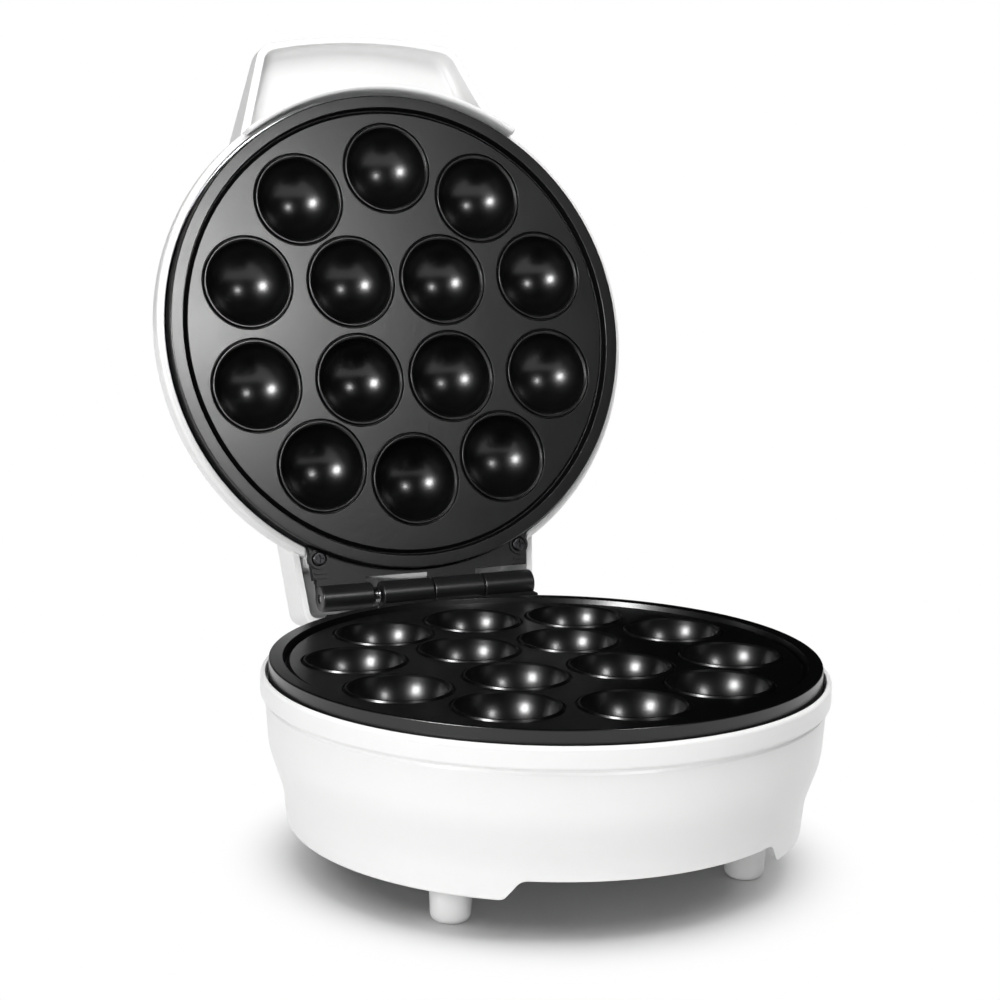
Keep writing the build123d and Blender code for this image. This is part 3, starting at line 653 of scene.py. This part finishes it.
# %% the tub
boss_half = 46.5
boss_front, boss_back = 88, hinge_y + 5.0
boss_low = hinge_deck - 25
boss_slope = 12
pillar_length = 16
gland_height = tub_low + 18
gland_seat_radius, gland_hole_radius = 9.5, 6.1
gland_seat_start, gland_hole_start = 92, 80      # both begin inside the wall
notch_half, notch_slope, notch_rise = 54.0, 5.0, 7.8
notch_round = 4
notch_reach = 90                  # half the width of its tool below the edge


def hinge_boss():
    """Block behind the tub that carries the lower half of the hinge."""
    side = [(boss_front, hinge_deck), (boss_back, hinge_deck), (boss_back, boss_low + boss_slope),
            (boss_back - boss_slope, boss_low), (boss_front, boss_low)]
    return soft_edges(prism("boss", side, -boss_half, boss_half, "X"), 1.4, 4)


def edge_notch():
    """The tool that raises the lower edge between the feet."""
    bottom, under, top = tub_low - 20, tub_low - 0.03, tub_low + notch_rise
    top_half = notch_half - notch_slope
    front = [(-notch_reach, bottom, 0), (-notch_reach, under, 0), (-notch_half, under, notch_round),
             (-top_half, top, notch_round), (top_half, top, notch_round), (notch_half, under, notch_round),
             (notch_reach, under, 0), (notch_reach, bottom, 0)]
    return prism("notch", soften(front, 6), -beyond, beyond, "Y")


for part in (hinge_boss(), *pillars(hinge_deck - pillar_length)):
    carve(tub, clear_bore(part), "UNION")
for name, radius, start, end, way in (
        ("gland_seat", gland_seat_radius, gland_seat_start, tub_shoulder, "UNION"),
        ("gland_hole", gland_hole_radius, gland_hole_start, beyond, "DIFFERENCE")):
    carve(tub, drum(name, radius, start, end, (0, gland_height), "Y"), way)
carve(tub, bracket_seat(beyond))
carve(tub, edge_notch())
install(tub, "base", "shell_white", "base_housing")

# %% [markdown]
# ## The lid's shell
# The dome is turned like the tub, and its side follows one Bezier curve. Arcs set end to end
# would show as kinks in the highlight. Neck, handle and lip are added to it. The handle is a
# tray: a flat back, and a rim that slopes away from the lid, with soft inner corners.

# %% the dome
lid_bead = 108.3
lid_seam = lid_bead - 2.6
lid_depth = 46.0


def bezier(handles, steps):
    """Points along the curve that its handles draw, both ends included."""
    points = []
    for n in range(steps + 1):
        level = [Vector(handle) for handle in handles]
        while len(level) > 1:
            level = [a.lerp(b, n / steps) for a, b in zip(level, level[1:])]
        points.append(level[0])
    return points


def dome_curve(inset, below, steps):
    """Side and crown of the lid below a height, and its pole; an inset draws the inner wall."""
    handles = [(lid_bead - 1.8 - inset, bead_low), (lid_bead - 6.8 - inset, -33.0 + inset / 3),
               (lid_bead - 11.3 - inset, -45.5 + inset), (lid_bead - 32.3 - inset / 2, -lid_depth + inset),
               (30, -lid_depth + inset), (0, -lid_depth + inset)]
    curve = [(point.x, point.y, 0) for point in bezier(handles, steps) if point.y < below]
    return curve[:-1] + [(0, -lid_depth + inset, 0)]


def lid_dome():
    """Closed dome: an outer and an inner skin that meet at the ledge."""
    meeting = (shell_bore, ledge_top, 0)
    outside = [meeting, (shell_bore, bead_top, 0.5), (lid_bead, bead_top, 1.9), (lid_bead, bead_low, 1.5),
               (lid_seam, seam_top, 0.2), (lid_seam, seam_low, 0.2), *dome_curve(0, bead_low - 2, 44)]
    inside = [meeting, (ledge_radius, ledge_top, 0.3), (ledge_radius, ledge_low, 0.3),
              (ledge_radius + 2, ledge_low, 0), *dome_curve(shell_wall, ledge_low - 1, 30)]
    return close_up(join("lid_shell_skin", [lathe("outside", soften(outside, 7), shell_turns),
                                            lathe("inside", soften(inside, 3), shell_turns)]))


lid = lid_dome()
print("dome faces:", len(lid.data.polygons))

# %% the handle
handle_back = -30.5
handle_root_rim, handle_end_rim = -15.4, -22.4
handle_reach, handle_bow = 137.0, 4.7
handle_end_half, handle_spread = 46.8, 0.363     # half width at the end, and its growth towards the lid
handle_corner = 11.0
handle_wall = 2.8
tray_start, scoop_start = 74, 60                 # both begin inside the dome
tray_trim = 99.5                                 # nothing of the tray is left within this radius


def handle_plan(inset, root):
    """Plan of the handle: straight sides, rounded corners and a bowed end."""
    end_half = handle_end_half - inset
    end, corner = handle_reach - inset, handle_corner - inset
    root_half = end_half + handle_spread * (end - handle_bow - root)
    bow = [(end_half * n / 6, handle_bow * (n / 6) ** 2 - end, 0) for n in range(4, -5, -1)]
    return soften([(root_half, -root, 0), (end_half, handle_bow - end, corner), *bow,
                   (-end_half, handle_bow - end, corner), (-root_half, -root, 0)], 10)


def handle_tray():
    """The tray: rounded at its back, scooped out and cut to its sloping rim."""
    tray = round_level(prism("tray", handle_plan(0, tray_start), handle_back, 0), handle_back, 3.0)
    floor = handle_back + handle_wall
    scoop = prism("scoop", handle_plan(handle_wall, scoop_start), floor, 40)
    carve(tray, round_level(scoop, floor, 4.5))
    fall = (handle_end_rim - handle_root_rim) / (handle_reach - lid_bead)
    slope = [(-y, handle_root_rim + fall * (y - lid_bead)) for y in (50, beyond)]
    carve(tray, prism("slope", [*slope, (-beyond, 50), (-50, 50)], -beyond, beyond, "X"))
    soft_edges(tray, 0.9, 4, 50)
    return carve(tray, drum("inside", tray_trim, -beyond, beyond, sides=96))


print("handle", 2 * handle_end_half, "mm wide at its end, reaching", handle_reach, "mm from the axis")

# %% the lip
lip_inside, lip_outside, lip_rise = 106.3, 108.7, 1.9
lip_low = -9.0
lip_half_angle = math.radians(35)
gap_inside, gap_low = 104.6, -11.4               # the gap between the plate's skirt and the lip


def lip_stretch(ring, low, high):
    """Keeps only the stretch of a ring that faces the handle."""
    across, along = beyond * math.sin(lip_half_angle), beyond * math.cos(lip_half_angle)
    wedge = prism("wedge", [(0, 0), (-across, -along), (across, -along)], low, high)
    return carve(close_up(ring), wedge, "INTERSECT")


def handle_lip():
    """Raised lip between plate and handle, rounded along its top and drawn in at its ends."""
    crest = (lip_outside - lip_inside) / 2 - 0.01
    outline = soften([(lip_inside, lip_low / 2, 0), (lip_inside, lip_rise, crest),
                      (lip_outside, lip_rise, crest), (lip_outside, lip_low, 0),
                      (lip_inside, lip_low, 0), (lip_inside, lip_low / 2, 0)])
    lip = close_up(lip_stretch(lathe("lip", outline, lip_turns), lip_low - 5, 10))
    for side in (-1, 1):
        away = Vector((side * math.cos(lip_half_angle), math.sin(lip_half_angle), 0))
        nothing_selected(lip)
        for face in lip.data.polygons:
            face.select = face.normal.dot(away) > 0.99 and face.area > MM ** 2
        bpy.ops.object.mode_set(mode="EDIT")
        for step, shrink in ((0.5, 0.93), (0.4, 0.84), (0.25, 0.6)):
            bpy.ops.mesh.extrude_region_move(TRANSFORM_OT_translate={"value": away * step * MM})
            bpy.ops.transform.resize(value=(shrink,) * 3)
        bpy.ops.object.mode_set(mode="OBJECT")
    return lip


def lip_gap():
    """The tool that deepens the gap between the plate's skirt and the lip."""
    outline = [(gap_inside, gap_low), (gap_inside, 8), (lip_inside, 8), (lip_inside, gap_low),
               (gap_inside, gap_low)]
    return lip_stretch(lathe("gap", outline, lip_turns), -30, 20)


print("lip", round(lip_outside - lip_inside, 2), "mm thick, standing", lip_rise, "mm above the rim")

# %% the neck over the hinge
neck_end = hinge_y + 10.2
neck_side_end = 88                               # behind this the sides draw in towards the end
neck_half, neck_end_half = 56.5, 53
neck_top, neck_low = -9.1, -33.0
neck_corner = 6.0
neck_trim = ledge_radius - 2.8                   # nothing of the neck is left within this radius


def neck():
    """Hollow neck over the hinge, rounded at its rear corners and along its back."""
    def plan(inset, front):
        half, end_half, corner = neck_half - inset, neck_end_half - inset, neck_corner - inset
        return soften([(half, front, 0), (half, neck_side_end, 0), (end_half, neck_end - inset, corner),
                       (-end_half, neck_end - inset, corner), (-half, neck_side_end, 0),
                       (-half, front, 0)], 8)

    solid = round_level(prism("neck", plan(0, 68), neck_low, neck_top), neck_low, neck_corner)
    floor = neck_low + shell_wall
    hollow = round_level(prism("hollow", plan(shell_wall, 70), floor, 20), floor, neck_corner - shell_wall)
    carve(solid, carve(hollow, drum("ring", ledge_radius, -beyond, beyond, sides=96)))
    return carve(solid, drum("inside", neck_trim, -beyond, beyond, sides=96))


print("neck", 2 * neck_half, "mm wide, ending", round(neck_end - hinge_y, 1), "mm behind the hinge")

# %% the lid's shell
lens_x, lens_y = 10.0, -58.0
recess_radius, recess_floor = 5.15, -44.4        # the two round recesses of the lamps
lid_seat_back = 97
for part in (clear_bore(neck()), handle_tray(), handle_lip()):
    carve(lid, part, "UNION")
carve(lid, lip_gap())
for part in pillars(neck_low + 1.2):
    carve(lid, clear_bore(part), "UNION")
carve(lid, bracket_seat(lid_seat_back))
for side in (-1, 1):
    carve(lid, drum("recess", recess_radius, -beyond, recess_floor, (side * lens_x, lens_y)))
install(lid, "lid", "shell_white", "lid_shell")

# %% [markdown]
# ## The hinge
# A black moulded bracket sits beside each plate, held by two screws in round bosses. Their
# knuckles interleave round the steel pin. Only their softened edges catch the light, so each
# barrel is rounded at its ends before it is joined to its bracket: a bevel of the whole
# bracket would trip over the corners where barrel and web meet.

# %% where the knuckles sit
barrel_radius, barrel_length, barrel_gap, spring_room = 5.6, 23.2, 0.35, 4.2
bracket_top = -4.1
bracket_front, bracket_back = hinge_y - 25.8, hinge_y - 8.1
bracket_half, bracket_back_half = 51, 49.4
screw_boss, screw_seat = 4.4, 3.4
rib_in, rib_out, rib_width = 43.5, 49.0, 0.9
plate_room = 104.3
web = 2.6
pin_hole = 2.05
axis_height = {"base": (hinge_axis.z - rim_z) / MM}
axis_height["lid"] = closed_gap / MM - axis_height["base"]
barrel_starts = [-(4 * barrel_length + 2 * barrel_gap + spring_room) / 2]
for space in (spring_room, barrel_gap, barrel_gap):
    barrel_starts.append(barrel_starts[-1] + barrel_length + space)
print("knuckles start at", [round(start, 2) for start in barrel_starts])

# %% the hinge brackets
def bracket_face():
    """Flat face beside the plate, with round screw bosses and two small ribs under each."""
    face = prism("face", [(-bracket_half, bracket_front), (bracket_half, bracket_front),
                          (bracket_back_half, bracket_back), (-bracket_back_half, bracket_back)],
                 hinge_deck, bracket_top)
    for side in (-1, 1):
        spot = (side * hinge_screw_x, hinge_screw_y)
        carve(face, drum("boss", screw_boss, hinge_deck + 0.5, bracket_top + 0.8, spot), "UNION")
        carve(face, drum("screw_seat", screw_seat, bracket_top, 5, spot))
        for back in (1.4, 3.4):
            y = bracket_back - back
            carve(face, block("rib", (side * rib_in, side * rib_out), (y, y + rib_width),
                              (bracket_top - 1, bracket_top + 0.6)), "UNION")
    carve(face, drum("plate_room", plate_room, -beyond, beyond, sides=shell_turns))
    return soft_edges(face, 0.35, 3, 50)


def hinge_bracket(name, height, starts):
    """A bracket with its knuckles, which hang on it by a riser and a web."""
    bracket = bracket_face()
    bracket.name = name
    low = height - barrel_radius
    for start in starts:
        end = start + barrel_length
        barrel = drum("barrel", barrel_radius, start, end, (hinge_y, height), "X", 64)
        carve(bracket, soft_edges(barrel, 0.8, 4, 50), "UNION")
        hanger = [(bracket_back - 1, hinge_deck), (bracket_back + 1.5, hinge_deck), (bracket_back + 1.5, low),
                  (hinge_y, low), (hinge_y, low + web), (bracket_back - 1, low + web)]
        carve(bracket, prism("hanger", hanger, start + 0.4, end - 0.4, "X"), "UNION")
    return carve(bracket, drum("pin_hole", pin_hole, -beyond, beyond, (hinge_y, height), "X", 32))


lower_bracket = hinge_bracket("lower_hinge_bracket", axis_height["base"], barrel_starts[1::2])
upper_bracket = hinge_bracket("upper_hinge_bracket", axis_height["lid"],
                              [-(start + barrel_length) for start in barrel_starts[0::2]])
install(lower_bracket, "base", "bracket_black", "base_hinge_bracket")
install(upper_bracket, "lid", "bracket_black", "lid_hinge_bracket")

# %% [markdown]
# ## Camera
# The camera stands where the photograph was taken from. It could be set by eye, but its place
# was worked out from the outlines of the cups, which are circles of one size. It is given
# from the middle of the lower plate, at the level of the cups' rims, and the picture's centre
# is shifted, because the photograph was cropped.

# %% camera
lip_crest = 1.1 * MM                             # the cups' lips stand this far below the rim
plate_middle = Vector((0, plate_y, rim_z - lip_crest))
camera_from_plate = Vector((-0.340818, -0.691627, 0.191802))
camera_right = Vector((0.92718, -0.37459, 0.00361))
camera_up = Vector((0.04759, 0.12733, 0.99072))
camera_back = camera_right.cross(camera_up)

bpy.ops.object.camera_add()
camera = bpy.context.object
camera.name = "camera"
camera.data.lens = 74.93
camera.data.sensor_width = 36
camera.data.shift_x = 0.10504
camera.data.shift_y = -0.07025
camera.data.clip_start = 0.05
axes = zip(camera_right, camera_up, camera_back, plate_middle + camera_from_plate)
camera.matrix_world = Matrix([list(row) for row in axes] + [[0, 0, 0, 1]])
bpy.context.scene.camera = camera
print("camera at", [round(v, 4) for v in camera.location])

# %% [markdown]
# ## Studio
# A white sweep of paper and soft boxes. Two boxes are seen only in reflections: they give each
# hollow cup its pair of soft highlights. The others give light and no reflection. They light
# the white shells from all round, and the one overhead draws the shadow on the floor. Lamps
# that do both jobs at once would be simpler, but then a change to one job spoils the other.
#
# The background is white for the camera, but faint as a light. A black room, which nothing but
# reflections can see, keeps it off the plates. The paper is real close to the cooker, where the
# shadow falls, and glows white further out. The three fills leave it alone, so that they don't
# wash the shadow out.

# %% studio
aim = Vector((0, 0, 0.15))        # the lamps look at the middle of the open cooker


def toward(azimuth, elevation):
    """Unit vector from the object to a lamp; azimuth 0 is the front, positive to the right."""
    a, e = math.radians(azimuth), math.radians(elevation)
    return Vector((math.sin(a) * math.cos(e), -math.cos(a) * math.cos(e), math.sin(e)))


def soft_box(name, azimuth, elevation, distance, side, power, work):
    """A square lamp that looks at the object. Its work is either gloss or light."""
    bpy.ops.object.light_add(type="AREA", location=aim + distance * toward(azimuth, elevation))
    lamp = bpy.context.object
    lamp.name = name
    lamp.data.shape = "SQUARE"
    lamp.data.size = side
    lamp.data.energy = power
    lamp.rotation_euler = (-toward(azimuth, elevation)).to_track_quat("-Z", "Y").to_euler()
    lamp.visible_glossy = work != "light"
    lamp.visible_diffuse = work != "gloss"
    return lamp


soft_box("side_box", -63, 16, 1.3, 0.34, 19, "gloss")
soft_box("front_box", 13, 29, 1.3, 0.2, 5.2, "gloss")
fills = [soft_box("side_fill", -35, 14, 1.3, 0.6, 10, "light"),
         soft_box("left_fill", -115, 6, 1.3, 0.7, 5.2, "light"),
         soft_box("right_fill", 110, 10, 1.3, 0.7, 11, "light")]
soft_box("overhead_box", -5, 75, 1.4, 1.0, 20, "light")
print("fills:", ", ".join(lamp.name for lamp in fills))

# %% the white background
def ray_kind(tree, *kinds):
    """1 for the rays of the kinds that are named, and 0 for all others."""
    path = tree.nodes.new("ShaderNodeLightPath")
    total = Value(tree, path.outputs[kinds[0]])
    for kind in kinds[1:]:
        total = total.math("MAXIMUM", total, Value(tree, path.outputs[kind]))
    return total


backdrop_rays = ("Is Camera Ray", "Is Glossy Ray", "Is Transmission Ray")
ambient = 0.1                     # strength of the white background as a light
world = bpy.data.worlds.new("studio")
bpy.context.scene.world = world
world.use_nodes = True
sky = world.node_tree
background = sky.nodes["Background"]
level = node(sky, "ShaderNodeMix", {"data_type": "FLOAT"},
             {0: ray_kind(sky, *backdrop_rays), 2: ambient, 3: 1.0})
sky.links.new(level.socket, background.inputs["Strength"])
background.inputs["Color"].default_value = (1, 1, 1, 1)

bpy.ops.mesh.primitive_uv_sphere_add(segments=48, ring_count=24, radius=4.0)
dark_room = bpy.context.object
dark_room.name = "dark_room"
for kind in ("camera", "diffuse", "transmission", "volume_scatter", "shadow"):
    setattr(dark_room, f"visible_{kind}", False)
dark_room.data.materials.append(material("Black cloth", (0.0, 0.0, 0.0), 1.0, Specular_IOR_Level=0.0)[0])
print("background: 1.0 to look at,", ambient, "as a light")

# %% the paper floor
shadow_end, glow_start = 0.07, 0.125             # the paper fades to glowing white between these radii
bpy.ops.mesh.primitive_circle_add(vertices=96, radius=3.0, fill_type="NGON")
floor = bpy.context.object
floor.name = "paper_floor"
paper, tree, shader = material("White paper", (0.9, 0.9, 0.9), 0.9)
glow = tree.nodes.new("ShaderNodeEmission")
reach = node(tree, "ShaderNodeVectorMath", {"operation": "DISTANCE"},
             {0: place(tree), 1: (0, plate_y, 0)}, output="Value")
fade = node(tree, "ShaderNodeMapRange", {"interpolation_type": "SMOOTHSTEP"},
            {"Value": reach, "From Min": shadow_end, "From Max": glow_start})
mix = node(tree, "ShaderNodeMixShader", inputs={0: fade * ray_kind(tree, *backdrop_rays)})
tree.links.new(shader.outputs[0], mix.socket.node.inputs[1])
tree.links.new(glow.outputs[0], mix.socket.node.inputs[2])
tree.links.new(mix.socket, tree.nodes["Material Output"].inputs["Surface"])
floor.data.materials.append(paper)

unlit = bpy.data.collections.new("not_lit_by_fills")
unlit.objects.link(floor)
unlit.collection_objects[0].light_linking.link_state = "EXCLUDE"
for lamp in fills:
    lamp.light_linking.receiver_collection = unlit

bpy.context.scene.view_settings.view_transform = "Standard"
print("studio ready")
